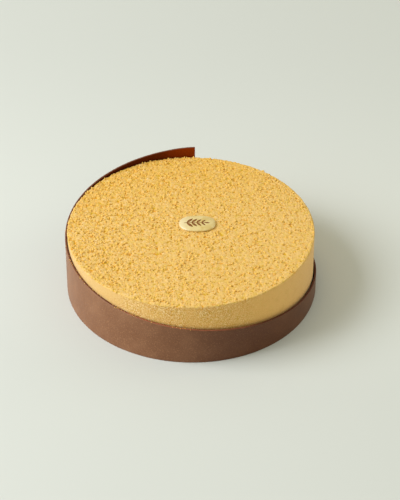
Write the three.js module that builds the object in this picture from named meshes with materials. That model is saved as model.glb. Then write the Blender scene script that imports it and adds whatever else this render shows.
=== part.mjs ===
// A round tea mousse cake under a golden velvet spray, coarse crumbs on its top and a
// plain side. A strip of chocolate, cut as one long wedge, winds once round it: from a
// tall free end behind the cake, down past the left, the front and the right, to a thin
// tip. An oval plaque of white chocolate lies near the middle of the top.
//
// Millimetres, +Z up, -Y to the front. The origin is the centre of the base, on the
// surface that the cake rests on. Turns are in degrees, anticlockwise seen from above.

import * as THREE from "three";

const CAKE = {
  diameter: 180,
  height: 49, // up to the mean level of the crumbs
  rimRound: 1.6,
  footRound: 1.0,
  roundSteps: 3,
};

const CRUMB = {
  spacing: 2.6,
  rise: 1.0, // the highest crumb over the mean level
  pit: 0.4, // the deepest pit under it
  drift: 0.24, // sideways, as a share of the spacing
  pits: 0.3, // the share of the points that are pits
  peaks: 0.3, // and the share that stand at full height
  coarseTurn: 150, // the side where the spray fell coarsest
  softest: 0.62, // the crumbs' height on the far side, as a share
  rimShare: 0.55, // the crumbs' height along the rim, as a share
  rimWear: 0.25, // the rim's unevenness, inwards
  seed: 5018,
};

const BAND = {
  startTurn: 88.3, // the tall end, just right of straight behind
  wrap: 340,
  tallEnd: 57.3,
  tip: 0.8,
  bow: 1.18, // 1 would be a straight cut
  thickness: 1.6,
  snug: 0.4, // the clearance where the strip hugs the cake
  loose: [
    { at: 0, reach: 25, gap: 0.3 }, // the free end leans away a little
    { at: 230, reach: 55, gap: 1.3 }, // a slack stretch at the right of the front
  ],
  segments: 170,
};

const PLAQUE = {
  length: 27,
  width: 17.6,
  thickness: 2.4,
  across: 5.0, // the place of its centre, to the right of the cake's
  behind: 5.3, // and behind it
  belly: 0.36, // the level of its widest outline, as a share of the thickness
  footTuck: 0.045, // how far the foot draws in, as a share of the half length
  squareness: 0.42, // below 1, a fuller edge than an ellipse's
  rows: 8,
  segments: 56,
  seatMargin: 3.4, // the crumbs are pressed flat this far round it
  seatDepth: 0.3,
};

const FINISH = {
  velvet: { color: "#e3b263", roughness: 0.96 },
  chocolate: { color: "#5f3b29", roughness: 0.52 },
  whiteChocolate: { color: "#f0dfb2", roughness: 0.55 },
};

const { degToRad, lerp, seededRandom, smoothstep } = THREE.MathUtils;
const SECTORS = 6; // each ring of crumbs has six more than the ring inside it
const cakeRadius = CAKE.diameter / 2;

/** A smooth swell of height 1 round one turn. */
function swell(turn, at, reach) {
  return Math.exp(-(((turn - at) / reach) ** 2));
}

/** The point at a turn, a distance from the axis and a height. */
function polar(turn, radius, height) {
  const angle = degToRad(turn);
  return new THREE.Vector3(radius * Math.cos(angle), radius * Math.sin(angle), height);
}

/** A geometry from shared vertices and triangles that name them. */
function indexedGeometry(vertices, triangles) {
  const geometry = new THREE.BufferGeometry().setFromPoints(vertices);
  geometry.setIndex(triangles.flat());
  geometry.computeVertexNormals();
  return geometry;
}

/** Whether a point of the top lies on the flat patch under the plaque. */
function onSeat(x, y) {
  const along = (x - PLAQUE.across) / (PLAQUE.length / 2 + PLAQUE.seatMargin);
  const across = (y - PLAQUE.behind) / (PLAQUE.width / 2 + PLAQUE.seatMargin);
  return along ** 2 + across ** 2 < 1;
}

/** How high the crumbs stand at a point of the top, as a share of the tallest. */
function coarseness(x, y) {
  const towards = polar(CRUMB.coarseTurn, 1, 0);
  const side = (x * towards.x + y * towards.y) / cakeRadius;
  return lerp(CRUMB.softest, 1, (1 + side) / 2);
}

/** The height of one crumb over the mean level, drawn at random. */
function crumbHeight(x, y, share) {
  const stand = smoothstep(seededRandom(), CRUMB.pits, 1 - CRUMB.peaks);
  const height = share * coarseness(x, y) * lerp(-CRUMB.pit, CRUMB.rise, stand);
  return onSeat(x, y) ? -PLAQUE.seatDepth : height;
}

/** The crumbs of the top: a centre and rings round it, each point nudged at random. */
function crumbRings(rings, discRadius) {
  const points = [new THREE.Vector3(0, 0, CAKE.height)];
  const step = discRadius / rings;
  for (let ring = 1; ring <= rings; ring++) {
    const onRim = ring === rings;
    for (let i = 0; i < SECTORS * ring; i++) {
      const drift = onRim ? 0 : CRUMB.drift * step;
      const point = polar((360 * i) / (SECTORS * ring), ring * step, CAKE.height);
      point.x += drift * lerp(-1, 1, seededRandom());
      point.y += drift * lerp(-1, 1, seededRandom());
      point.z += crumbHeight(point.x, point.y, onRim ? CRUMB.rimShare : 1);
      points.push(point);
    }
  }
  return points;
}

/** The triangles between the crumbs, sector by sector. */
function crumbTriangles(rings) {
  const first = (ring) => (ring === 0 ? 0 : 1 + (SECTORS / 2) * ring * (ring - 1));
  const at = (ring, i) => first(ring) + (ring === 0 ? 0 : i % (SECTORS * ring));
  const triangles = [];
  for (let ring = 1; ring <= rings; ring++) {
    for (let sector = 0; sector < SECTORS; sector++) {
      for (let i = 0; i < ring; i++) {
        const outer = sector * ring + i;
        const inner = sector * (ring - 1) + i;
        triangles.push([at(ring - 1, inner), at(ring, outer), at(ring, outer + 1)]);
        if (i < ring - 1) {
          triangles.push([at(ring - 1, inner), at(ring, outer + 1), at(ring - 1, inner + 1)]);
        }
      }
    }
  }
  return triangles;
}

/** The cake's outline below its top, from the rim to the foot: inset from the wall, and height. */
function wallOutline() {
  const outline = [];
  for (let i = 1; i <= CAKE.roundSteps; i++) {
    const lean = degToRad((90 * i) / CAKE.roundSteps);
    outline.push({
      inset: CAKE.rimRound * (1 - Math.sin(lean)),
      height: CAKE.height - CAKE.rimRound * (1 - Math.cos(lean)),
      worn: true,
    });
  }
  outline.push({ inset: 0, height: CAKE.footRound, worn: false });
  outline.push({ inset: CAKE.footRound, height: 0, worn: false });
  return outline;
}

/** The whole cake: the crumbs of the top, the rim, the wall and a flat base. */
function cakeGeometry() {
  seededRandom(CRUMB.seed);
  const discRadius = cakeRadius - CAKE.rimRound;
  const rings = Math.round(discRadius / CRUMB.spacing);
  const around = SECTORS * rings;
  const vertices = crumbRings(rings, discRadius);
  const triangles = crumbTriangles(rings);

  for (const { inset, height, worn } of wallOutline()) {
    const above = vertices.length - around;
    const below = vertices.length;
    for (let i = 0; i < around; i++) {
      const wear = worn ? CRUMB.rimWear * seededRandom() : 0;
      vertices.push(polar((360 * i) / around, cakeRadius - inset - wear, height));
      const next = (i + 1) % around;
      triangles.push([above + i, below + i, below + next]);
      triangles.push([above + i, below + next, above + next]);
    }
  }

  const foot = vertices.length - around;
  const baseCentre = vertices.push(new THREE.Vector3(0, 0, 0)) - 1;
  for (let i = 0; i < around; i++) {
    triangles.push([foot + i, baseCentre, foot + ((i + 1) % around)]);
  }
  return indexedGeometry(vertices, triangles);
}

/** The height of the strip's slanting cut, a turn on from its tall end. */
function bandHeight(turn) {
  return lerp(BAND.tallEnd, BAND.tip, (turn / BAND.wrap) ** BAND.bow);
}

/** The strip's inner radius, a turn on from its tall end. */
function bandRadius(turn) {
  const slack = BAND.loose.map(({ at, reach, gap }) => gap * swell(turn, at, reach));
  return cakeRadius + BAND.snug + slack.reduce((sum, gap) => sum + gap, 0);
}

/** The strip of chocolate: a flat bar, cut on the slant and bent round the cake. */
function bandGeometry() {
  const geometry = new THREE.BoxGeometry(1, 1, 1, BAND.segments, 1, 1).translate(0.5, 0.5, 0.5);
  const place = geometry.attributes.position;
  for (let i = 0; i < place.count; i++) {
    const turn = BAND.wrap * place.getX(i);
    const radius = bandRadius(turn) + BAND.thickness * place.getZ(i);
    const point = polar(BAND.startTurn + turn, radius, bandHeight(turn) * place.getY(i));
    place.setXYZ(i, point.x, point.y, point.z);
  }
  geometry.computeVertexNormals();
  return geometry;
}

/** Half the plaque's section: a flat foot, a full edge and a low crown, 1 across and 1 high. */
function plaqueOutline() {
  const outline = [new THREE.Vector2(0, 0), new THREE.Vector2(1 - PLAQUE.footTuck, 0)];
  for (let i = 0; i <= PLAQUE.rows; i++) {
    const lean = degToRad((90 * i) / PLAQUE.rows);
    const out = i === PLAQUE.rows ? 0 : Math.cos(lean) ** PLAQUE.squareness;
    outline.push(new THREE.Vector2(out, lerp(PLAQUE.belly, 1, Math.sin(lean))));
  }
  return outline;
}

/** The oval plaque, its foot at height 0. */
function plaqueGeometry() {
  return new THREE.LatheGeometry(plaqueOutline(), PLAQUE.segments)
    .rotateX(Math.PI / 2)
    .scale(PLAQUE.length / 2, PLAQUE.width / 2, PLAQUE.thickness);
}

/** A named piece of the cake. */
function piece(name, geometry, finish) {
  const material = new THREE.MeshStandardMaterial({ ...finish, metalness: 0 });
  const mesh = new THREE.Mesh(geometry, material);
  mesh.name = name;
  return mesh;
}

const teaCake = new THREE.Group();
teaCake.add(piece("mousse_cake", cakeGeometry(), FINISH.velvet));
teaCake.add(piece("chocolate_band", bandGeometry(), FINISH.chocolate));

const plaque = piece("plaque", plaqueGeometry(), FINISH.whiteChocolate);
plaque.position.set(PLAQUE.across, PLAQUE.behind, CAKE.height);
teaCake.add(plaque);

export default teaCake;
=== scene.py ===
"""The looks of a round tea mousse cake: velvet crumbs, a chocolate strip and an oval plaque.

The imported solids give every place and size. The cake's solid is replaced by a velvet core, a
crust of fused crumbs and the loose crumbs on it, the strip's by one with softened edges and a
gloss on its inner face, and the plaque's by a poured oval with a leafy print. Metres, +Z up.
"""

import logging
import math
from contextlib import contextmanager
from dataclasses import dataclass, field
from enum import Enum
from typing import Callable, Iterator

import bmesh
import bpy
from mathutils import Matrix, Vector


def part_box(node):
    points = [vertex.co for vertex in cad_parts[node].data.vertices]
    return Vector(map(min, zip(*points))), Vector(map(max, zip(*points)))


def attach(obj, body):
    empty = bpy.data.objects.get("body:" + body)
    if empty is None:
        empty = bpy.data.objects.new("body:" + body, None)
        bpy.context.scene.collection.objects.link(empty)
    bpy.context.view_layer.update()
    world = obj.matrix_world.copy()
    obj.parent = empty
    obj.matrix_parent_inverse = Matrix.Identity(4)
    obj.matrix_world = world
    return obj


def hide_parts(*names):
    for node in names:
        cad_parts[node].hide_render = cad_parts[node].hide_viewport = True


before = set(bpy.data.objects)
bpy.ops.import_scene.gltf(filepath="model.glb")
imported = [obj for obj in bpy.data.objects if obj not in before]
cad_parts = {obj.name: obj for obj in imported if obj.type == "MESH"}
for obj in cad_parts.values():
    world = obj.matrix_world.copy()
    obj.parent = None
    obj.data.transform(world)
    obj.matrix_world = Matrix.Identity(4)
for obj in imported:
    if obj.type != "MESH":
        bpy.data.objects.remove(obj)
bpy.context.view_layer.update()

LOG = logging.getLogger("tea_cake")
MM = 0.001
BODY = "root"

Piece = bpy.types.Object
Pair = tuple[float, float]
Triple = tuple[float, float, float]
Colour = Triple
Feed = "Signal | float | tuple[float, ...] | bpy.types.Material | bool | int"


# Node graphs, which materials and geometry nodes share


@dataclass
class Signal:
    """A socket of a node graph. Python's operators on it add Math nodes.

    Args:
        graph: The graph that the socket belongs to.
        socket: An output socket.
    """

    graph: "Graph"
    socket: bpy.types.NodeSocket

    def other(self, name: str) -> "Signal":
        """Another output of the same node."""
        return Signal(self.graph, self.graph.socket(self.socket.node.outputs, name))

    def __add__(self, value: Feed) -> "Signal":
        """The sum."""
        return self.graph.math("ADD", self, value)

    __radd__ = __add__

    def __sub__(self, value: Feed) -> "Signal":
        """The difference."""
        return self.graph.math("SUBTRACT", self, value)

    def __rsub__(self, value: Feed) -> "Signal":
        """The difference, with the plain number first."""
        return self.graph.math("SUBTRACT", value, self)

    def __mul__(self, value: Feed) -> "Signal":
        """The product."""
        return self.graph.math("MULTIPLY", self, value)

    __rmul__ = __mul__

    def __truediv__(self, value: Feed) -> "Signal":
        """The quotient."""
        return self.graph.math("DIVIDE", self, value)

    def __rtruediv__(self, value: Feed) -> "Signal":
        """The quotient, with the plain number first."""
        return self.graph.math("DIVIDE", value, self)

    def __pow__(self, value: Feed) -> "Signal":
        """The power."""
        return self.graph.math("POWER", self, value)

    def __gt__(self, value: Feed) -> "Signal":
        """1 where this is greater, or else 0."""
        return self.graph.math("GREATER_THAN", self, value)

    def __lt__(self, value: Feed) -> "Signal":
        """1 where this is less, or else 0."""
        return self.graph.math("LESS_THAN", self, value)

    def step(self, low: float, high: float) -> "Signal":
        """A smooth rise from 0 at low to 1 at high, or a fall where high is the lesser.

        Args:
            low: Where the result is 0.
            high: Where the result is 1.

        Returns:
            The eased value.
        """
        if high < low:
            return 1 - self.step(high, low)
        return self.graph.node(
            "ShaderNodeMapRange",
            {"interpolation_type": "SMOOTHSTEP"},
            {"Value": self, "From Min": low, "From Max": high},
            "Result",
        )

    def between(self, low: float, high: float) -> "Signal":
        """A number between two, this being the share of the way from low to high."""
        return low + self * (high - low)

    def mix(self, first: Feed, second: Feed) -> "Signal":
        """A blend of two colours, this being the share of the second."""
        sockets = {"Factor": self, "A": first, "B": second}
        return self.graph.node("ShaderNodeMix", {"data_type": "RGBA"}, sockets, "Result")

    def bump(self, depth: float) -> "Signal":
        """A shader's normal, roughened by this height, of that depth in metres."""
        return self.graph.node("ShaderNodeBump", {}, {"Height": self, "Distance": depth}, "Normal")

    def split(self) -> tuple["Signal", "Signal", "Signal"]:
        """The three numbers of this vector."""
        first = self.graph.node("ShaderNodeSeparateXYZ", {}, {0: self}, "X")
        return first, first.other("Y"), first.other("Z")

    def scaled(self, share: Feed) -> "Signal":
        """This vector, times a number."""
        return self.graph.vector("SCALE", self, scale=share)

    def flat(self) -> "Signal":
        """This place without its height, so that moving a level surface changes nothing."""
        return self.graph.vector("MULTIPLY", self, (1.0, 1.0, 0.0))

    def off_axis(self) -> "Signal":
        """How far this place lies from the cake's axis."""
        return self.graph.vector("LENGTH", self.flat(), output="Value")

    def towards(self, turn: float, unit: float = 1.0) -> "Signal":
        """How far this place lies towards one side of the cake.

        Args:
            turn: The side, in degrees anticlockwise from +X.
            unit: The length that counts as 1.

        Returns:
            The distance, negative on the far side.
        """
        angle = math.radians(turn)
        side = (math.cos(angle) / unit, math.sin(angle) / unit, 0.0)
        return self.graph.vector("DOT_PRODUCT", self, side, output="Value")

    def noise(self, size: float, detail: float = 2.0, rough: float = 0.5) -> "Signal":
        """Soft noise from 0 to 1 at this place, mostly near a half.

        Args:
            size: The size of its features, in metres.
            detail: How many finer layers it adds.
            rough: How strong each finer layer is.

        Returns:
            The noise. Its other("Color") holds three different ones.
        """
        sockets = {"Vector": self, "Scale": 1 / size, "Detail": detail, "Roughness": rough}
        return self.graph.node("ShaderNodeTexNoise", {}, sockets, "Fac")

    def cells(self, size: float, settings: dict, **sockets: Feed) -> "Signal":
        """A Voronoi pattern at this place.

        Args:
            size: The width of its cells, in metres.
            settings: The node's feature and the like.
            sockets: More of its inputs, such as Smoothness.

        Returns:
            The distance, in cell widths. Its other("Color") holds a draw for each cell.
        """
        inputs = {"Vector": self, "Scale": 1 / size, **sockets}
        return self.graph.node("ShaderNodeTexVoronoi", settings, inputs, "Distance")

    def warped(self, size: float, most: float) -> "Signal":
        """This place, pushed to and fro by noise.

        Args:
            size: The size of the noise's features.
            most: How far apart its furthest pushes are.

        Returns:
            The new place.
        """
        push = self.graph.vector("SUBTRACT", self.noise(size).other("Color"), (0.5, 0.5, 0.5))
        return self.graph.vector("ADD", self, push.scaled(most))


@dataclass
class Graph:
    """A node tree that grows as its maths is written.

    Args:
        tree: A material's or a geometry modifier's tree.
    """

    tree: bpy.types.NodeTree

    @staticmethod
    def socket(sockets: bpy.types.bpy_prop_collection, key: str | int) -> bpy.types.NodeSocket:
        """The socket of a name or number that is in use, as a Mix node has several of one name.

        Args:
            sockets: A node's inputs or outputs.
            key: The socket's name or number.

        Returns:
            The socket.
        """
        if isinstance(key, int):
            return sockets[key]
        named = [s for s in sockets if key in (s.name, s.identifier)]
        return next((s for s in named if s.enabled), named[0])

    def node(
        self,
        kind: str,
        settings: dict | None = None,
        sockets: dict[str | int, Feed] | None = None,
        output: str | int = 0,
    ) -> Signal:
        """Adds a node. Its settings come first, because they decide which sockets it has.

        Args:
            kind: Blender's name for the node's type.
            settings: Its properties, such as a Math node's operation.
            sockets: Plain values or signals for its inputs.
            output: The output to return.

        Returns:
            The chosen output, whose other() gives the rest.
        """
        node = self.tree.nodes.new(kind)
        for name, value in (settings or {}).items():
            setattr(node, name, value)
        for key, value in (sockets or {}).items():
            into = self.socket(node.inputs, key)
            if isinstance(value, Signal):
                self.tree.links.new(value.socket, into)
            elif value is not None:
                into.default_value = (*value, 1.0) if into.type == "RGBA" and len(value) == 3 else value
        return Signal(self, self.socket(node.outputs, output) if node.outputs else None)

    def math(self, operation: str, *values: Feed) -> Signal:
        """A Math node on one or more values."""
        return self.node("ShaderNodeMath", {"operation": operation}, dict(enumerate(values)))

    def vector(self, operation: str, *values: Feed, scale: Feed = None, output: str | int = 0) -> Signal:
        """A Vector Math node.

        Args:
            operation: Such as ADD, SCALE or LENGTH.
            values: The vectors.
            scale: The number that SCALE multiplies by.
            output: The output, Value for a length or a dot product.

        Returns:
            The vector or the value.
        """
        sockets = dict(enumerate(values))
        if scale is not None:
            sockets["Scale"] = scale
        return self.node("ShaderNodeVectorMath", {"operation": operation}, sockets, output)

    def join(self, x: Feed, y: Feed, z: Feed) -> Signal:
        """A vector from three numbers."""
        return self.node("ShaderNodeCombineXYZ", {}, {"X": x, "Y": y, "Z": z})

    def draws(self, low: Triple, high: Triple, seed: int) -> Signal:
        """Three random numbers for each element, between two limits."""
        sockets = {"Min": low, "Max": high, "Seed": seed}
        return self.node("FunctionNodeRandomValue", {"data_type": "FLOAT_VECTOR"}, sockets, "Value")


# Blender's operators, as by hand


class Element(Enum):
    """What edit mode selects."""

    VERTEX = "verts"
    EDGE = "edges"
    FACE = "faces"


def only(piece: Piece) -> None:
    """Leaves one object selected and active.

    Args:
        piece: The object.
    """
    bpy.ops.object.select_all(action="DESELECT")
    piece.select_set(True)
    bpy.context.view_layer.objects.active = piece


def added(name: str) -> Piece:
    """Names the primitive that was just added, and leaves it alone selected.

    Args:
        name: Its name.

    Returns:
        The object.
    """
    piece = bpy.context.object
    piece.name = piece.data.name = name
    only(piece)
    return piece


@contextmanager
def editing(piece: Piece) -> Iterator[None]:
    """Edit mode on one object, for the length of a with block.

    Args:
        piece: The object.
    """
    only(piece)
    bpy.ops.object.mode_set(mode="EDIT")
    yield
    bpy.ops.object.mode_set(mode="OBJECT")


def pick(piece: Piece, kind: Element, test: Callable[..., bool]) -> None:
    """Selects in edit mode what passes a test, and nothing else.

    Args:
        piece: The object in edit mode.
        kind: Whether vertices, edges or faces are tested.
        test: True for an element to select.
    """
    bpy.context.tool_settings.mesh_select_mode = tuple(kind is each for each in Element)
    bpy.ops.mesh.select_all(action="DESELECT")
    mesh = bmesh.from_edit_mesh(piece.data)
    for element in getattr(mesh, kind.value):
        if test(element):
            element.select_set(True)
    mesh.select_flush_mode()
    bmesh.update_edit_mesh(piece.data)


def face_outwards() -> None:
    """Selects all in edit mode and turns the faces outwards."""
    bpy.ops.mesh.select_all(action="SELECT")
    bpy.ops.mesh.normals_make_consistent(inside=False)


def apply_modifier(piece: Piece, kind: str, **settings: object) -> None:
    """Adds a modifier, sets it and applies it.

    Args:
        piece: The object.
        kind: Blender's name for the modifier's type.
        settings: The modifier's properties.
    """
    only(piece)
    modifier = piece.modifiers.new(kind.title(), kind)
    for name, value in settings.items():
        setattr(modifier, name, value)
    bpy.ops.object.modifier_apply(modifier=modifier.name)


def sculpt(piece: Piece, shape: Callable[[Signal], Signal]) -> None:
    """Runs geometry nodes on a piece and applies them.

    Args:
        piece: The object.
        shape: Takes the piece's geometry and returns the new one.
    """
    tree = bpy.data.node_groups.new(piece.name + "_shape", "GeometryNodeTree")
    for side in ("INPUT", "OUTPUT"):
        tree.interface.new_socket("Geometry", in_out=side, socket_type="NodeSocketGeometry")
    graph = Graph(tree)
    graph.node("NodeGroupOutput", {}, {"Geometry": shape(graph.node("NodeGroupInput"))})
    apply_modifier(piece, "NODES", node_group=tree)
    bpy.data.node_groups.remove(tree)


def move_points(geometry: Signal, offset: Signal) -> Signal:
    """A Set Position node that adds an offset."""
    return geometry.graph.node("GeometryNodeSetPosition", {}, {"Geometry": geometry, "Offset": offset})


def smooth(piece: Piece, angle: float = 50.0) -> None:
    """Shades a piece smooth, but for edges sharper than an angle in degrees."""
    only(piece)
    bpy.ops.object.shade_smooth_by_angle(angle=math.radians(angle))


def settle(piece: Piece) -> None:
    """Moves a piece's place and turn into its mesh, and turns its faces outwards.

    Args:
        piece: The object.
    """
    only(piece)
    bpy.ops.object.transform_apply(location=True, rotation=True, scale=True)
    with editing(piece):
        face_outwards()


def dress(piece: Piece, *materials: bpy.types.Material) -> None:
    """Gives a piece its materials.

    Args:
        piece: The object.
        materials: The finishes, in the order of its faces' numbers.
    """
    piece.data.materials.clear()
    for material in materials:
        # The pale floor, with painted light: a little brighter about the cake and darker far behind it.
        piece.data.materials.append(material)


def hand_over(piece: Piece, slot: str, *nodes: str) -> None:
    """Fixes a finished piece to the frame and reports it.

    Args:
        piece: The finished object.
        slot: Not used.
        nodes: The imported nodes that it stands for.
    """
    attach(piece, BODY)
    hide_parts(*nodes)
    piece.data.calc_loop_triangles()
    LOG.info("%s: %d triangles", piece.name, len(piece.data.loop_triangles))


def paint(red: int, green: int, blue: int) -> Colour:
    """A screen colour, 0 to 255, as the linear one that shaders take."""
    shares = [value / 255 for value in (red, green, blue)]
    return tuple(s / 12.92 if s <= 0.04045 else ((s + 0.055) / 1.055) ** 2.4 for s in shares)


# Finishes


def new_material(name: str, **constants: Feed) -> tuple[bpy.types.Material, bpy.types.Node, Signal]:
    """An empty material with one Principled shader.

    Args:
        name: The finish's name.
        constants: Values that are the same all over, by socket name with _ for a space.

    Returns:
        The material, the shader's node, and the place on the piece, which is its place in the frame.
    """
    material = bpy.data.materials.new(name)
    material.use_nodes = True
    shader = material.node_tree.nodes["Principled BSDF"]
    for socket, value in constants.items():
        shader.inputs[socket.replace("_", " ")].default_value = value
    return material, shader, Graph(material.node_tree).node("ShaderNodeTexCoord", output="Object")


def feed_shader(shader: bpy.types.Node, **signals: Signal) -> None:
    """Links signals to a shader's sockets, by name with _ for a space."""
    for name, signal in signals.items():
        signal.graph.tree.links.new(signal.socket, shader.inputs[name.replace("_", " ")])


@dataclass(frozen=True)
class CrumbRelief:
    """How the fused crumbs of the top swell and sink, more so on the side where they fell coarsest."""

    lump: float = 4.8 * MM
    crumb: float = 2.7 * MM
    grain: float = 1.25 * MM
    warp: float = 0.8 * MM
    warp_size: float = 2.6 * MM
    patch: float = 17 * MM
    lump_rise: float = 0.28
    crumb_rise: Pair = (0.14, 0.48)
    grain_rise: Pair = (0.37, 0.27)
    ground: Pair = (0.37, 0.03)
    mean: float = 0.727
    reach: float = 90 * MM
    coarse_turn: float = 160.0

    def coarseness(self, place: Signal) -> Signal:
        """0 on the side of the finest crumbs, and 1 on that of the coarsest.

        Args:
            place: The place, in metres.

        Returns:
            The share, with patches in it.
        """
        side = place.towards(self.coarse_turn) / (2 * self.reach) + 0.5
        patches = place.flat().noise(self.patch)
        return side * 0.6 + patches.step(0.3, 0.7) * 0.3 + 0.05

    def height(self, place: Signal) -> Signal:
        """The relief at a place, from 0 in a pit to about 1 on a crumb.

        Args:
            place: The place, in metres.

        Returns:
            The relief.
        """
        bent = place.flat().warped(self.warp_size, 2 * self.warp)
        coarse = self.coarseness(place)
        lumps = self.domes(bent, self.lump) * coarse * self.lump_rise
        crumbs = self.domes(bent, self.crumb) * coarse.between(*self.crumb_rise)
        grains = self.domes(bent, self.grain) * coarse.between(*self.grain_rise)
        return lumps + crumbs + grains + coarse.between(*self.ground)

    def domes(self, place: Signal, size: float) -> Signal:
        """Packed grains of one size, some higher than others, with creases between them.

        Args:
            place: The place, in metres.
            size: The width of a grain.

        Returns:
            Their height, from 0 to 1.
        """
        off_centre = place.cells(size, {"feature": "F1", "voronoi_dimensions": "2D"})
        draw, _, _ = off_centre.other("Color").split()
        return 0.65 - (off_centre * 1.2) ** 3 * 0.65 + draw * 0.35


@dataclass(frozen=True)
class SandRelief:
    """How the fine grains of the wall swell, more so at the left of the front."""

    grain: float = 0.95 * MM
    warp: float = 1.5 * MM
    warp_size: float = 2 * MM
    patch: float = 14 * MM
    reach: float = 90 * MM
    coarse_turn: float = 267.0

    def unrolled(self, place: Signal) -> Signal:
        """The place on an even wall, so that moving the real one in or out changes nothing."""
        around = place.graph.vector("NORMALIZE", place.flat()).scaled(self.reach)
        return place.graph.vector("ADD", around, place.graph.join(0.0, 0.0, place.split()[2]))

    def coarseness(self, place: Signal) -> Signal:
        """0 where the wall is smooth, and 1 where it is sandy, with patches in it.

        Args:
            place: The place, in metres.

        Returns:
            The share.
        """
        wall = self.unrolled(place)
        side = wall.towards(self.coarse_turn, self.reach).step(0.76, 0.97)
        patches = wall.noise(self.patch, 3.0).step(0.35, 0.65)
        return side * (0.6 + patches * 0.4) + patches * 0.12

    def height(self, place: Signal) -> Signal:
        """The relief at a place on the wall, from 0 to about 1.

        Args:
            place: The place, in metres.

        Returns:
            The relief.
        """
        bent = self.unrolled(place).warped(self.warp_size, self.warp)
        grains = bent.cells(self.grain, {"feature": "SMOOTH_F1"}, Smoothness=0.25).step(0.75, 0.15)
        return 0.5 + (grains - 0.5) * self.coarseness(place).between(0.15, 1.0)


@dataclass(frozen=True)
class VelvetFinish:
    """The golden spray: dull, with a fine grain, with painted highlights on the crumbs and painted shade
    in the pits.
    """

    name: str
    # The two darkest colours are painted shade in the pits and the palest one a painted highlight on the
    # crests; they also give random dark and pale flecks.
    shade_and_dark_fleck: Colour = paint(213, 148, 4)
    green_shade_and_dark_fleck: Colour = paint(202, 160, 8)
    body: Colour = paint(227, 187, 106)
    # The tint of one side: on the wall it is painted light, the cooler tone of the light on the lit left;
    # on the top it only makes the back deeper and more saturated.
    side_tint_and_painted_light: Colour = paint(224, 175, 70)
    lime: Colour = paint(223, 186, 80)
    highlight_and_pale_fleck: Colour = paint(236, 204, 148)
    tinted_side_turn: float = 100.0
    tinted_side_from: float = 90 * MM
    relief: CrumbRelief | SandRelief | None = None
    mottle: float = 7 * MM
    tinge: float = 3.5 * MM
    grain: float = 0.8 * MM
    spot: float = 0.75 * MM
    speckled: bool = False
    sink: float = 0.48
    rise: float = 0.71
    sheen: float = 0.1
    bump: float = 0.2 * MM

    def build(self) -> bpy.types.Material:
        """Makes the material.

        Returns:
            The material.
        """
        material, shader, place = new_material(
            self.name,
            Specular_IOR_Level=0.2,
            Sheen_Weight=self.sheen,
            Sheen_Roughness=0.6,
            Sheen_Tint=(1.0, 0.95, 0.85, 1.0),
        )
        mottle = place.noise(self.mottle, 3.0)
        speck = place.noise(self.grain, 2.0, 0.6)
        tinge = place.noise(self.tinge, 1.0)
        shade_and_dark_fleck = tinge.step(0.42, 0.58).mix(self.shade_and_dark_fleck, self.green_shade_and_dark_fleck)
        if self.relief is None:
            colour = speck.step(0.5, 0.72).mix(self.body, self.highlight_and_pale_fleck)
        else:
            relief = self.relief.height(place)
            # One side tinted: painted light on the wall's lit left, a deeper back on the top.
            side = place.towards(self.tinted_side_turn).step(0, self.tinted_side_from)
            body = (side * 0.75).mix(self.body, self.side_tint_and_painted_light)
            body = (tinge.step(0.45, 0.7) * 0.5).mix(body, self.lime)
            # Painted shade and highlight: the low places of the relief take the dark colour and its crests
            # the pale one.
            colour = relief.step(self.sink, self.rise).mix(shade_and_dark_fleck, body)
            colour = (relief.step(self.rise * 1.05, 1.0) * 0.8).mix(colour, self.highlight_and_pale_fleck)
        colour = (speck.step(0.48, 0.3) * 0.3).mix(colour, shade_and_dark_fleck)
        if self.speckled:
            spot = place.noise(self.spot, 0.0)
            patchy = self.relief.coarseness(place)
            colour = (spot.step(0.46, 0.34) * patchy * 0.8).mix(colour, shade_and_dark_fleck)
            colour = (spot.step(0.55, 0.68) * patchy).mix(colour, self.highlight_and_pale_fleck)
        colour = (mottle.step(0.5, 0.7) * 0.15).mix(colour, shade_and_dark_fleck)
        rough = 0.86 + speck * 0.12
        feed_shader(shader, Base_Color=colour, Roughness=rough, Normal=speck.bump(self.bump))
        return material


@dataclass(frozen=True)
class ChocolateFinish:
    """Set chocolate: satin where it lay on film, glossy inside, or dull where it is cut, with painted
    shade away from a lit side where one is given.
    """

    name: str
    base: Colour
    fleck: Colour
    rough: float
    shine: float = 0.5
    sheen: float = 0.0
    sheen_tint: Colour = (1.0, 0.6, 0.4)
    cloud: float = 14 * MM
    grain: float = 0.8 * MM
    bump: float = 0.03 * MM
    # Painted shade: the darker colour away from the lit side, and where that side lies and how far it
    # reaches.
    away: Colour | None = None
    lit_turn: float = 267.0
    lit_reach: Pair = (72 * MM, 90 * MM)

    def build(self) -> bpy.types.Material:
        """Makes the material.

        Returns:
            The material.
        """
        material, shader, place = new_material(
            self.name,
            Specular_IOR_Level=self.shine,
            Sheen_Weight=self.sheen,
            Sheen_Roughness=0.5,
            Sheen_Tint=(*self.sheen_tint, 1.0),
        )
        cloud = place.noise(self.cloud, 3.0)
        fleck = place.noise(self.grain, 3.0, 0.65)
        colour = (fleck.step(0.5, 0.72) * 0.9).mix(self.base, self.fleck)
        colour = (cloud.step(0.4, 0.75) * 0.25).mix(colour, self.fleck)
        # Painted shade: away from the lit side the colour turns darker.
        if self.away:
            colour = place.towards(self.lit_turn).step(*self.lit_reach).mix(self.away, colour)
        rough = self.rough + (cloud - 0.5) * 0.12 + (fleck - 0.5) * 0.1
        feed_shader(shader, Base_Color=colour, Roughness=rough, Normal=fleck.bump(self.bump))
        return material


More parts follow.
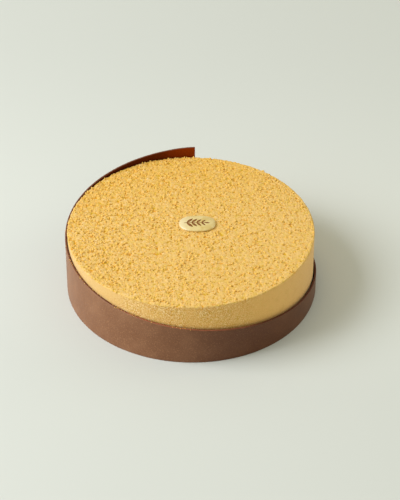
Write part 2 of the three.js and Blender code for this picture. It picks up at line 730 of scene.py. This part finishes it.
@dataclass(frozen=True)
class WhiteChocolateFinish:
    """Poured white chocolate: cream, satin, faintly clouded, with a painted highlight at its left end,
    where the light falls.
    """

    left: float
    right: float
    name: str = "white_chocolate"
    pale: Colour = paint(222, 201, 134)
    deep: Colour = paint(209, 182, 102)
    painted_highlight: Colour = paint(224, 207, 156)
    cloud: float = 5 * MM
    grain: float = 0.6 * MM
    bump: float = 0.02 * MM

    def build(self) -> bpy.types.Material:
        """Makes the material.

        Returns:
            The material.
        """
        material, shader, place = new_material(self.name, Specular_IOR_Level=0.9)
        cloud = place.noise(self.cloud, 3.0)
        grain = place.noise(self.grain)
        colour = cloud.step(0.35, 0.7).mix(self.pale, self.deep)
        # Painted highlight: the left end, where the light falls, turns to the palest colour.
        share = (place.split()[0] - self.left) / (self.right - self.left)
        colour = share.step(0.42, 0.02).mix(colour, self.painted_highlight)
        rough = 0.26 + grain * 0.16
        feed_shader(shader, Base_Color=colour, Roughness=rough, Normal=grain.bump(self.bump))
        return material


# The cake


@dataclass(frozen=True)
class CrumbBatch:
    """Loose crumbs of one size.

    Args:
        name: The piece's name.
        radius: The mean radius of a crumb.
        apart: The least distance between two.
        share: How many there are, as a share of what fits.
        detail: How finely each is divided.
        least: The smallest crumb's size on each of its axes, as a share.
        most: The largest one's.
        lumpy: The size of the lumps on a crumb, as a share of its radius.
        steepest: How far up a face has to look to carry crumbs, from 0 to 1.
    """

    name: str
    radius: float
    apart: float
    share: float
    detail: int
    least: Triple = (0.45, 0.5, 0.4)
    most: Triple = (1.5, 1.3, 1.0)
    lumpy: float = 1.3
    steepest: float = 0.2


def scatter_crumbs(
    source: Piece, batch: CrumbBatch, seed: int, cover: Callable[[Signal], Signal]
) -> Piece:
    """Loose crumbs, half sunk in a piece.

    Args:
        source: The finished piece on which they lie.
        batch: Their name, size and number.
        seed: The seed of their places, sizes and turns.
        cover: Takes a place and returns how thickly they lie there, from 0 to 1.

    Returns:
        The crumbs, as one piece.
    """
    only(source)
    bpy.ops.object.duplicate(linked=False)
    piece = added(batch.name)

    def scatter(geometry: Signal) -> Signal:
        """Replaces the copied piece by crumbs on the faces that look up.

        Args:
            geometry: The copied piece.

        Returns:
            The crumbs.
        """
        graph = geometry.graph
        place = graph.node("GeometryNodeInputPosition")
        _, _, up = graph.node("GeometryNodeInputNormal").split()
        points = graph.node(
            "GeometryNodeDistributePointsOnFaces",
            {"distribute_method": "POISSON"},
            {
                "Mesh": geometry,
                "Selection": up > batch.steepest,
                "Distance Min": batch.apart,
                "Density Max": batch.share / batch.apart**2,
                "Density Factor": cover(place),
                "Seed": seed,
            },
            "Points",
        )
        size = {"Radius": batch.radius, "Subdivisions": batch.detail}
        crumbs = graph.node(
            "GeometryNodeInstanceOnPoints",
            {},
            {
                "Points": points,
                "Instance": graph.node("GeometryNodeMeshIcoSphere", {}, size, "Mesh"),
                "Rotation": graph.draws((0.0,) * 3, (math.tau,) * 3, seed + 1),
                "Scale": graph.draws(batch.least, batch.most, seed + 2),
            },
        )
        real = graph.node("GeometryNodeRealizeInstances", {}, {"Geometry": crumbs})
        lump = batch.lumpy * batch.radius
        sunk = graph.vector("SUBTRACT", place.noise(lump).other("Color"), (0.5, 0.5, 0.6))
        return move_points(real, sunk.scaled(lump))

    sculpt(piece, scatter)
    smooth(piece, 80)
    return piece


@dataclass
class MousseCake:
    """The drum of mousse: a sandy core, a crust of fused crumbs and loose crumbs on it."""

    crumb_rise: float = 1.0 * MM
    rim_round: float = 0.9 * MM
    foot_round: float = 1.0 * MM
    relief: float = 2.2 * MM
    rim_relief: Pair = (0.55, 1.25)
    crust_span: int = 312
    crust_depth: float = 1.4 * MM
    core_around: int = 1060
    core_rows: int = 86
    sand: float = 0.32 * MM
    calm_rim: Pair = (0.4 * MM, 1.8 * MM)
    seat_edge: float = 0.97
    seat_margin: float = 1.6 * MM
    crumb_depth: float = 1.6 * MM
    bare_rim: Pair = (0.9 * MM, 0.3 * MM)
    sparsest: float = 0.15
    batches: tuple[CrumbBatch, ...] = (
        CrumbBatch("crumbs_coarse", radius=1.0 * MM, apart=2.1 * MM, share=0.95, detail=2),
        CrumbBatch("crumbs_fine", radius=0.55 * MM, apart=1.3 * MM, share=0.7, detail=1),
    )
    rim_batch: CrumbBatch = CrumbBatch("crumbs_rim", radius=0.85 * MM, apart=1.5 * MM, share=2.0, detail=2)
    rim_belt: Pair = (1.3 * MM, 0.35 * MM)
    rim_depth: float = 1.0 * MM
    rim_side: Pair = (0.7, 0.84)
    rim_turn: float = 128.0
    seed: int = 7
    low: Vector = field(default_factory=lambda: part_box("mousse_cake")[0])
    high: Vector = field(default_factory=lambda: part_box("mousse_cake")[1])

    @property
    def radius(self) -> float:
        """The radius of the wall."""
        return (self.high.x - self.low.x) / 2

    @property
    def level(self) -> float:
        """The mean height of the top."""
        return self.high.z - self.crumb_rise

    def build(self) -> None:
        """Makes the core, the crust and the crumbs."""
        velvet_top = VelvetFinish("velvet_top", relief=CrumbRelief()).build()
        velvet_side = VelvetFinish(
            "velvet_side",
            # Painted shade in the sand's dips and a painted highlight on its grains.
            shade_and_dark_fleck=paint(206, 142, 10),
            green_shade_and_dark_fleck=paint(204, 150, 12),
            body=paint(229, 179, 91),
            # Painted light: the wall's lit left side takes the light's cooler tone.
            side_tint_and_painted_light=paint(221, 182, 108),
            lime=paint(227, 180, 90),
            highlight_and_pale_fleck=paint(244, 208, 142),
            tinted_side_turn=180,
            relief=SandRelief(),
            sink=-0.6,
            rise=0.55,
            speckled=True,
            sheen=0.35,
        ).build()
        velvet_crumb = VelvetFinish(
            "velvet_crumb", body=paint(228, 183, 80), highlight_and_pale_fleck=paint(241, 208, 130)
        ).build()
        core = self.core()
        dress(core, velvet_side)
        hand_over(core, "velvet_spray", "mousse_cake")
        crust = self.crust()
        dress(crust, velvet_top)
        covers = {**dict.fromkeys(self.batches, self.crumb_cover), self.rim_batch: self.rim_cover}
        for number, (batch, cover) in enumerate(covers.items()):
            crumbs = scatter_crumbs(crust, batch, self.seed + 3 * number, cover)
            dress(crumbs, velvet_crumb)
            hand_over(crumbs, "velvet_spray", "mousse_cake")
        hand_over(crust, "velvet_spray", "mousse_cake")

    def core(self) -> Piece:
        """The drum under the crust, with its sandy wall and flat base.

        Returns:
            The piece.
        """
        height = self.level - self.rim_round
        bpy.ops.mesh.primitive_cylinder_add(
            vertices=self.core_around, radius=self.radius, depth=height, location=(0, 0, height / 2)
        )
        core = added("velvet_core")
        settle(core)
        with editing(core):
            pick(core, Element.EDGE, lambda e: all(v.co.z < MM for v in e.verts))
            bpy.ops.mesh.bevel(offset=self.foot_round, segments=3)
            pick(core, Element.EDGE, lambda e: abs(e.verts[0].co.z - e.verts[1].co.z) > height / 2)
            bpy.ops.mesh.subdivide(number_cuts=self.core_rows)
        sculpt(core, self.sandy)
        smooth(core)
        return core

    def sandy(self, geometry: Signal) -> Signal:
        """Roughens the wall like fine sand, and leaves the base flat.

        Args:
            geometry: The smooth drum.

        Returns:
            The sandy one.
        """
        graph = geometry.graph
        place = graph.node("GeometryNodeInputPosition")
        outwards = graph.vector("NORMALIZE", place.flat())
        above_base = place.split()[2].step(0, 2 * MM)
        height = (SandRelief().height(place) - 0.5) * self.sand * above_base
        return move_points(geometry, outwards.scaled(height))

    def crust(self) -> Piece:
        """The slab of fused crumbs that forms the top and the rim.

        Returns:
            The piece.
        """
        around = 4 * self.crust_span
        bpy.ops.mesh.primitive_circle_add(
            vertices=around, radius=self.radius, fill_type="NOTHING", location=(0, 0, self.level)
        )
        crust = added("velvet_crust")
        settle(crust)
        with editing(crust):
            bpy.ops.mesh.select_all(action="SELECT")
            bpy.ops.mesh.fill_grid(span=self.crust_span)
            face_outwards()
        sculpt(crust, self.rounded_rim)
        sculpt(crust, self.crumbly)
        with editing(crust):
            pick(crust, Element.EDGE, lambda e: e.is_boundary)
            bpy.ops.mesh.extrude_edges_move(
                TRANSFORM_OT_translate={"value": (0, 0, -self.crust_depth / 2)}
            )
            shrink = 1 - self.crust_depth / self.radius
            bpy.ops.transform.resize(value=(shrink, shrink, 1))
            bpy.ops.mesh.edge_face_add()
            face_outwards()
        smooth(crust, 75)
        return crust

    def rounded_rim(self, geometry: Signal) -> Signal:
        """Lowers the outermost edge of the flat disc along a quarter circle.

        Args:
            geometry: The flat disc.

        Returns:
            The disc with its rim.
        """
        graph = geometry.graph
        out = graph.node("GeometryNodeInputPosition").off_axis()
        over = graph.math("MAXIMUM", (out - (self.radius - self.rim_round)) / self.rim_round, 0.0)
        fall = 1 - graph.math("SQRT", graph.math("MAXIMUM", 1 - over * over, 0.0))
        return move_points(geometry, graph.join(0.0, 0.0, fall * -self.rim_round))

    def crumbly(self, geometry: Signal) -> Signal:
        """Raises the fused crumbs along the surface's normal, less at the rim and none under the plaque.

        Args:
            geometry: The smooth disc.

        Returns:
            The crumbly one.
        """
        place = geometry.graph.node("GeometryNodeInputPosition")
        inside = place.off_axis().step(*(self.radius - margin for margin in self.calm_rim))
        crumbs = CrumbRelief()
        rim = crumbs.coarseness(place).between(*self.rim_relief)
        strength = rim + inside * (1 - rim)
        relief = (crumbs.height(place) - crumbs.mean) * self.relief
        height = self.off_seat(place) * (relief * strength)
        return move_points(geometry, geometry.graph.node("GeometryNodeInputNormal").scaled(height))

    def off_seat(self, place: Signal) -> Signal:
        """0 under the plaque, rising to 1 just outside it.

        Args:
            place: The place, in metres.

        Returns:
            The share.
        """
        x, y, _ = place.split()
        low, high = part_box("plaque")
        middle, half = (low + high) / 2, (high - low) / 2
        across = (x - middle.x) / half.x
        along = (y - middle.y) / half.y
        out = place.graph.math("SQRT", across * across + along * along)
        return out.step(self.seat_edge, self.seat_edge + self.seat_margin / half.y)

    def crumb_cover(self, place: Signal) -> Signal:
        """How thickly loose crumbs lie on the crust: not at all at the rim's edge or by the plaque.

        Args:
            place: The place, in metres.

        Returns:
            The cover, from 0 to 1.
        """
        coarse = CrumbRelief().coarseness(place)
        inside = place.off_axis() < self.radius - coarse.between(*self.bare_rim)
        on_top = inside * (place.split()[2] > self.level - self.crumb_depth)
        return on_top * (self.off_seat(place) > 0.95) * coarse.between(self.sparsest, 1.0)

    def rim_cover(self, place: Signal) -> Signal:
        """How thickly loose crumbs lie along the rim: only where the spray fell coarsest.

        Args:
            place: The place, in metres.

        Returns:
            The cover, from 0 to 1.
        """
        out = place.off_axis()
        inner, outer = (self.radius - margin for margin in self.rim_belt)
        on_rim = (out > inner) * (out < outer) * (place.split()[2] > self.level - self.rim_depth)
        return on_rim * place.towards(self.rim_turn, self.radius).step(*self.rim_side)


@dataclass(frozen=True)
class Swell:
    """A smooth swell along the strip, such as a stretch where it stands off the cake."""

    at: float
    reach: float
    most: float

    def size(self, turn: float) -> float:
        """How large it is at a turn, in metres."""
        return self.most * math.exp(-(((turn - self.at) / self.reach) ** 2))


@dataclass
class ChocolateBand:
    """The wedge of chocolate that winds once round the cake. Turns are in degrees."""

    start_turn: float = 88.3
    wrap: float = 340.0
    tip: float = 0.8 * MM
    bow: float = 1.18
    thickness: float = 1.35 * MM
    snug: float = 0.4 * MM
    slack: tuple[Swell, ...] = (Swell(0, 14, 0.8 * MM), Swell(226, 46, 1.25 * MM))
    dip: Swell = Swell(35, 38, 1.2 * MM)
    edge: float = 0.2 * MM
    steps: int = 425
    rows: int = 12
    spill: CrumbBatch = CrumbBatch(
        "crumbs_spilt", radius=0.42 * MM, apart=0.9 * MM, share=1.0, detail=1, steepest=0.4
    )
    spill_patch: float = 9 * MM
    spill_behind: float = 20 * MM
    spill_width: float = 0.45
    facing: float = 0.7
    seed: int = 31
    tall: float = field(default_factory=lambda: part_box("chocolate_band")[1].z)

    def build(self) -> Piece:
        """Makes the strip.

        Returns:
            The piece.
        """
        band = self.strip()
        satin = ChocolateFinish(
            "chocolate_satin", paint(88, 50, 26), paint(120, 78, 49), rough=0.45, shine=0.25, sheen=0.08
        ).build()
        gloss = ChocolateFinish(
            "chocolate_gloss",
            paint(97, 27, 0),
            paint(104, 34, 0),
            rough=0.3,
            shine=0.08,
            # Painted shade: the inner face darkens away from the tall end, which is lit.
            away=paint(76, 21, 0),
            lit_turn=self.start_turn,
            lit_reach=(86 * MM, 90 * MM),
        ).build()
        cut = ChocolateFinish(
            "chocolate_cut",
            paint(122, 64, 38),
            paint(142, 84, 56),
            rough=0.6,
            shine=0.2,
            # Painted shade: the cut edge darkens away from the lit front.
            away=paint(88, 46, 24),
        ).build()
        dress(band, satin, gloss, cut)
        for face in band.data.polygons:
            outwards = Vector((face.center.x, face.center.y, 0)).normalized()
            inwards, upwards = face.normal.dot(outwards) < -self.facing, face.normal.z > self.facing
            face.material_index = 1 if inwards else 2 if upwards else 0
        spilt = scatter_crumbs(band, self.spill, self.seed, self.spilt)
        velvet = VelvetFinish("velvet_spilt", body=paint(214, 168, 80), highlight_and_pale_fleck=paint(232, 196, 124))
        dress(spilt, velvet.build())
        hand_over(spilt, "velvet_spray", "mousse_cake")
        hand_over(band, "chocolate", "chocolate_band")
        return band

    def spilt(self, place: Signal) -> Signal:
        """How thickly crumbs lie on the cut edge: only where the wall rises close behind it.

        Args:
            place: The place, in metres.

        Returns:
            The cover, from 0 to 1.
        """
        x, y, _ = place.split()
        inner = place.off_axis() < self.inner + self.thickness * self.spill_width + self.slack[1].most
        patches = place.noise(self.spill_patch).step(0.4, 0.62)
        return inner * (x < 0) * (y < self.spill_behind) * patches

    @property
    def inner(self) -> float:
        """The radius of its inner face where it hugs the cake."""
        low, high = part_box("mousse_cake")
        return (high.x - low.x) / 2 + self.snug

    def height(self, turn: float) -> float:
        """The height of the slanting cut, a turn on from the tall end."""
        return self.tall + (self.tip - self.tall) * (turn / self.wrap) ** self.bow - self.dip.size(turn)

    def strip(self) -> Piece:
        """A rounded bar section, spun round the cake and then cut on the slant.

        Returns:
            The piece.
        """
        middle = self.inner + self.thickness / 2
        bpy.ops.mesh.primitive_plane_add(size=1, location=(middle, 0, self.tall / 2))
        band = added("chocolate_strip")
        band.rotation_euler = (math.pi / 2, 0, 0)
        band.scale = (self.thickness, self.tall, 1)
        bpy.ops.object.transform_apply(location=True, rotation=True, scale=True)
        with editing(band):
            bpy.ops.mesh.select_all(action="SELECT")
            bpy.ops.mesh.bevel(offset=self.edge, segments=3, affect="VERTICES")
            pick(band, Element.EDGE, lambda e: abs(e.verts[0].co.z - e.verts[1].co.z) > self.tall / 2)
            bpy.ops.mesh.subdivide(number_cuts=self.rows)
            bpy.ops.mesh.select_all(action="SELECT")
            bpy.ops.mesh.spin(
                steps=self.steps, angle=math.radians(self.wrap), center=(0, 0, 0), axis=(0, 0, -1)
            )
            bpy.ops.mesh.select_all(action="SELECT")
            bpy.ops.mesh.remove_doubles(threshold=0.01 * MM)
        for vertex in band.data.vertices:
            vertex.co = self.bent(vertex.co)
        with editing(band):
            face_outwards()
        smooth(band, 40)
        return band

    def bent(self, place: Vector) -> Vector:
        """Where a point of the plain ring goes: down to the cut and out to the slack.

        Args:
            place: The point on the ring.

        Returns:
            The new place.
        """
        angle = math.degrees(math.atan2(place.y, place.x)) % 360
        turn = angle if angle <= self.wrap + 1 else 0.0
        out = math.hypot(place.x, place.y) + sum(swell.size(turn) for swell in self.slack)
        height = self.height(turn)
        if place.z <= self.edge:
            z = place.z
        elif place.z >= self.tall - self.edge:
            z = height - (self.tall - place.z)
        else:
            z = self.edge + (place.z - self.edge) / (self.tall - 2 * self.edge) * (height - 2 * self.edge)
        around = math.radians(self.start_turn + turn)
        return Vector((out * math.cos(around), out * math.sin(around), z))


@dataclass
class Plaque:
    """The poured oval with its leafy print."""

    belly: float = 0.36
    foot_tuck: float = 0.045
    squareness: float = 0.72
    rows: int = 16
    around: int = 96
    crown: float = 0.03
    puffed: Triple = (0.99, 1.06, 1.15)
    shift: Triple = (-0.3 * MM, -0.4 * MM, 0.0)
    fullness: float = 2.35
    leaf_length: float = 6.8 * MM
    leaf_width: float = 2.1 * MM
    leaf_lean: float = 47.0
    leaf_taper: float = 0.35
    pairs: int = 4
    pairs_apart: float = 3.6 * MM
    stem_length: float = 14.5 * MM
    stem_width: float = 0.5 * MM
    sprig_shift: Triple = (-2.8 * MM, -1.4 * MM, 0.0)
    print_thickness: float = 0.14 * MM
    low: Vector = field(default_factory=lambda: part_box("plaque")[0])
    high: Vector = field(default_factory=lambda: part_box("plaque")[1])

    def build(self) -> None:
        """Makes the oval and its print."""
        oval = self.oval()
        dress(oval, WhiteChocolateFinish(self.low.x, self.high.x).build())
        hand_over(oval, "white_chocolate", "plaque")
        sprig = self.sprig(oval)
        cocoa = ChocolateFinish(
            "cocoa_print", paint(124, 76, 30), paint(150, 102, 48), rough=0.6, shine=0.3
        )
        dress(sprig, cocoa.build())
        hand_over(sprig, "white_chocolate", "plaque")

    def section(self) -> list[Pair]:
        """The section's corners above the foot.

        Returns:
            How far out and up each is, as shares of the half length and the height.
        """
        corners = []
        for i in range(self.rows):
            lean = math.pi / 2 * i / self.rows
            out, up = math.cos(lean) ** self.squareness, math.sin(lean)
            corners.append((out, self.belly + (1 - self.belly) * up))
        return corners

    def oval(self) -> Piece:
        """A disc extruded and resized along the section, then squeezed to an oval.

        Returns:
            The piece.
        """
        half = (self.high - self.low) / 2 * Vector(self.puffed)
        base = (self.low + self.high) / 2 + Vector(self.shift)
        base.z = self.low.z
        foot = 1 - self.foot_tuck
        bpy.ops.mesh.primitive_circle_add(
            vertices=self.around, radius=half.x * foot, fill_type="NGON", location=tuple(base)
        )
        oval = added("plaque_oval")
        settle(oval)
        with editing(oval):
            bpy.ops.mesh.select_all(action="SELECT")
            last, level = foot, 0.0
            for out, up in [*self.section(), (self.crown, 1.0)]:
                rise = (up - level) * 2 * half.z
                bpy.ops.mesh.extrude_region_move(TRANSFORM_OT_translate={"value": (0, 0, rise)})
                bpy.ops.transform.resize(value=(out / last, out / last, 1), center_override=tuple(base))
                last, level = out, up
            bpy.ops.mesh.merge(type="CENTER")
            bpy.ops.mesh.select_all(action="SELECT")
            bpy.ops.transform.resize(value=(1, half.y / half.x, 1), center_override=tuple(base))
            face_outwards()
        for vertex in oval.data.vertices:
            turn = math.atan2((vertex.co.y - base.y) / half.y, (vertex.co.x - base.x) / half.x)
            corner = abs(math.cos(turn)) ** self.fullness + abs(math.sin(turn)) ** self.fullness
            vertex.co.xy = base.xy + (vertex.co.xy - base.xy) * corner ** (-1 / self.fullness)
        smooth(oval, 60)
        return oval

    def leaf(self, root: Vector, turn: float, size: float) -> Piece:
        """A flat pointed leaf.

        Args:
            root: Where it grows from the stem.
            turn: Its lean from the stem, in degrees.
            size: Its size, as a share of the largest.

        Returns:
            The leaf, to be joined to the rest.
        """
        half = self.leaf_length * size / 2
        lean = math.radians(turn)
        bpy.ops.mesh.primitive_grid_add(
            x_subdivisions=12,
            y_subdivisions=4,
            size=2 * half,
            location=tuple(root + Vector((math.cos(lean), math.sin(lean), 0)) * half),
            rotation=(0, 0, lean),
        )
        leaf = added("leaf")
        for vertex in leaf.data.vertices:
            vertex.co.y *= self.leaf_width / self.leaf_length * (1 - (vertex.co.x / half) ** 2)
        with editing(leaf):
            bpy.ops.mesh.select_all(action="SELECT")
            bpy.ops.mesh.remove_doubles(threshold=0.01 * MM)
        return leaf

    def sprig(self, oval: Piece) -> Piece:
        """A stem with paired leaves, laid on the oval as a thin print.

        Args:
            oval: The finished oval.

        Returns:
            The piece.
        """
        stalk = (self.low + self.high) / 2 + Vector(self.sprig_shift)
        stalk.z = self.high.z + MM
        parts = []
        for i in range(self.pairs):
            root = stalk + Vector(((i + 0.5) * self.pairs_apart - self.stem_length / 2, 0, 0))
            size = 1 - self.leaf_taper * i / (self.pairs - 1)
            parts += [self.leaf(root, side * self.leaf_lean, size) for side in (-1, 1)]
        tip = stalk + Vector((self.stem_length / 2, 0, 0))
        parts.append(self.leaf(tip, 0, 1 - self.leaf_taper))
        bpy.ops.mesh.primitive_grid_add(x_subdivisions=24, y_subdivisions=1, size=1, location=tuple(stalk))
        stem = bpy.context.object
        stem.scale = (self.stem_length, self.stem_width, 1)
        bpy.ops.object.select_all(action="DESELECT")
        for part in [*parts, stem]:
            part.select_set(True)
        bpy.context.view_layer.objects.active = stem
        bpy.ops.object.join()
        sprig = added("plaque_sprig")
        bpy.ops.object.transform_apply(location=True, rotation=True, scale=True)
        apply_modifier(
            sprig,
            "SHRINKWRAP",
            target=oval,
            wrap_method="PROJECT",
            use_project_z=True,
            use_positive_direction=False,
            use_negative_direction=True,
        )
        apply_modifier(sprig, "SOLIDIFY", thickness=self.print_thickness, offset=0.0)
        settle(sprig)
        smooth(sprig, 40)
        return sprig


# The studio


@dataclass(frozen=True)
class Lamp:
    """A large soft light that faces the cake.

    Args:
        name: Its name.
        turn: The side that it stands on, in degrees anticlockwise from +X.
        lift: Its height, in degrees above the floor.
        distance: How far off it stands.
        size: Its width.
        power: Its power, in watts.
        tone: Its colour.
    """

    name: str
    turn: float
    lift: float
    distance: float
    size: float
    power: float
    tone: Colour

    def build(self) -> Piece:
        """Makes the light.

        Returns:
            The light.
        """
        data = bpy.data.lights.new(self.name, "AREA")
        data.size, data.energy, data.color = self.size, self.power, self.tone
        around, up = math.radians(self.turn), math.radians(self.lift)
        towards = Vector((math.cos(around) * math.cos(up), math.sin(around) * math.cos(up), math.sin(up)))
        light = bpy.data.objects.new(self.name, data)
        light.location = towards * self.distance
        light.rotation_euler = towards.to_track_quat("Z", "Y").to_euler()
        bpy.context.collection.objects.link(light)
        return light


@dataclass
class Studio:
    """A pale floor, soft light from the left and the photograph's camera."""

    lens: float = 154.9
    sensor: float = 36.0
    camera_place: Triple = (0.00658, -1.24569, 0.99909)
    pitch: float = 37.90
    sight: Pair = (0.05, 60.0)
    floor_size: float = 24.0
    floor_drop: float = 0.05 * MM
    floor_tone: Colour = (0.63, 0.66, 0.6)
    floor_cloud: float = 0.4
    sky_tone: Colour = (1.0, 0.975, 0.84)
    sky_strength: float = 0.57
    lamps: tuple[Lamp, ...] = (
        Lamp("key_light", turn=187, lift=41, distance=2.1, size=1.2, power=42.5, tone=(0.91, 0.91, 1.0)),
        Lamp("low_light", turn=212, lift=12, distance=1.6, size=1.0, power=4, tone=(0.75, 0.88, 1.0)),
        Lamp("fill_light", turn=14, lift=24, distance=2.2, size=1.2, power=6, tone=(1.0, 0.9, 0.78)),
    )
    satin_lamp: Lamp = Lamp(
        "satin_light", turn=200, lift=20, distance=1.5, size=0.8, power=39, tone=(1.0, 1.38, 1.6)
    )

    def build(self, band: Piece) -> None:
        """Makes the floor, the lights and the camera.

        Args:
            band: The chocolate strip, whose satin catches a light of its own.
        """
        self.floor()
        self.sky()
        for lamp in self.lamps:
            lamp.build()
        lit = bpy.data.collections.new("satin_light_on")
        lit.objects.link(band)
        self.satin_lamp.build().light_linking.receiver_collection = lit
        self.camera()

    def floor(self) -> None:
        """The pale, plain floor."""
        bpy.ops.mesh.primitive_plane_add(size=self.floor_size, location=(0, 0, -self.floor_drop))
        floor = added("floor")
        material, shader, place = new_material("floor_matte", Specular_IOR_Level=0.2, Roughness=0.9)
        _, away, _ = place.split()
        # Painted light: a little brighter about the cake and darker far behind it.
        painted_light_tone, cloud_and_painted_shade_tone = (tuple(value * share for value in self.floor_tone) for share in (1.04, 0.96))
        colour = place.noise(self.floor_cloud).mix(cloud_and_painted_shade_tone, self.floor_tone)
        colour = away.step(-0.14, 0).mix(colour, painted_light_tone)
        feed_shader(shader, Base_Color=away.step(0.05, 0.35).mix(colour, cloud_and_painted_shade_tone))
        dress(floor, material)

    def sky(self) -> None:
        """Even light from all round."""
        world = bpy.data.worlds.new("studio")
        world.use_nodes = True
        background = world.node_tree.nodes["Background"]
        background.inputs["Color"].default_value = (*self.sky_tone, 1)
        background.inputs["Strength"].default_value = self.sky_strength
        bpy.context.scene.world = world

    def camera(self) -> None:
        """The photograph's view."""
        data = bpy.data.cameras.new("camera")
        data.lens, data.sensor_width = self.lens, self.sensor
        data.clip_start, data.clip_end = self.sight
        camera = bpy.data.objects.new("camera", data)
        camera.location = self.camera_place
        camera.rotation_euler = (math.radians(90 - self.pitch), 0, 0)
        bpy.context.collection.objects.link(camera)
        bpy.context.scene.camera = camera
        bpy.context.scene.view_settings.view_transform = "Standard"


def main() -> None:
    """Builds every piece and reports it."""
    logging.basicConfig(level=logging.INFO, format="%(name)s: %(message)s")
    MousseCake().build()
    band = ChocolateBand().build()
    Plaque().build()
    Studio().build(band)


if __name__ == "__main__":
    main()
